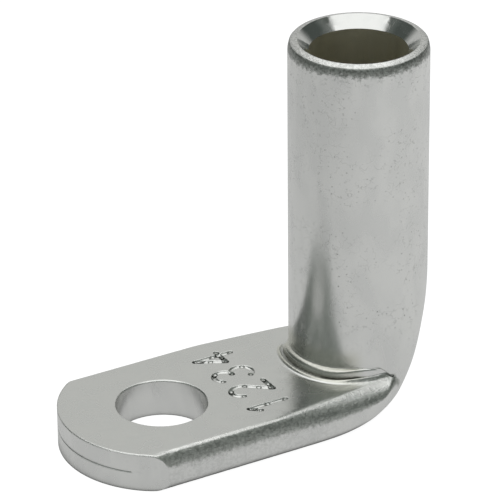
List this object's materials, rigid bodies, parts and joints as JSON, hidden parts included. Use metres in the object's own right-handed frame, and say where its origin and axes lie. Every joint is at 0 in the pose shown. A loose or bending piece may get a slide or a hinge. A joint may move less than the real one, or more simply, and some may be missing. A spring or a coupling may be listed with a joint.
{
  "type": "copper cable lug",
  "caption": "Right-angle tubular crimp lug: a flat palm with a stud hole, folded up into a round conductor barrel.",
  "frame": {"origin": "centre of the stud hole on the underside of the palm", "axes": "+Z along the stud hole and the barrel, away from the contact face; +X from the stud hole towards the barrel"},
  "size_m": [0.0286, 0.0134, 0.0273],
  "materials": {
    "tinned_copper": "satin tin plating"
  },
  "bodies": {
    "root": {"cable_lug": "tinned_copper"}
  },
  "joints": []
}
